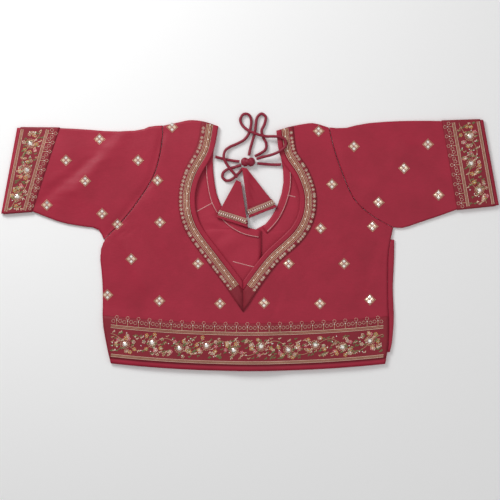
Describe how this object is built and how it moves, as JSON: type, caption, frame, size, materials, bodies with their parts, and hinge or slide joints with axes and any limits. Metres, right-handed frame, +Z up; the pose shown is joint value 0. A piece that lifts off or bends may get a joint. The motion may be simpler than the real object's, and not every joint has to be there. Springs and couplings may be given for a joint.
{
  "type": "choli blouse",
  "caption": "Cropped choli blouse laid flat with its back up: deep leaf-shaped back neck, half sleeves, lace borders, and neck ties with cone latkans.",
  "frame": {"origin": "middle of the garment's outline, on the surface that it lies on", "axes": "+X from one cuff to the other, to the right as seen from above; +Y from the hem to the shoulders; +Z up, out of the back"},
  "size_m": [0.747, 0.388, 0.0121],
  "materials": {
    "silk": "crimson art silk with a soft sheen and a fine slub",
    "gold_lace": "gold thread lace on crimson, with sequins and round mirrors",
    "dori": "rolled crimson silk tie",
    "hooks": "plated steel"
  },
  "bodies": {
    "root": {"back": "silk", "cuff_lace_left": "gold_lace", "cuff_lace_right": "gold_lace", "dori_knot": "dori", "dori_left_end": "dori", "dori_left_loop": "dori", "dori_left_tie": "dori", "dori_right_loop": "dori", "dori_right_tie": "dori", "front_left": "silk", "front_right": "silk", "hem_lace_back": "gold_lace", "hem_lace_front_left": "gold_lace", "hem_lace_front_right": "gold_lace", "hook_1": "hooks", "hook_2": "hooks", "hook_3": "hooks", "hook_4": "hooks", "latkan_lace_left": "gold_lace", "latkan_lace_right": "gold_lace", "latkan_left": "silk", "latkan_right": "silk", "neck_binding_left": "silk", "neck_binding_right": "silk", "neck_facing_left": "silk", "neck_facing_right": "silk", "neck_lace_left": "gold_lace", "neck_lace_right": "gold_lace", "side_strip_right": "silk", "sleeve_left": "silk", "sleeve_right": "silk"}
  },
  "joints": []
}
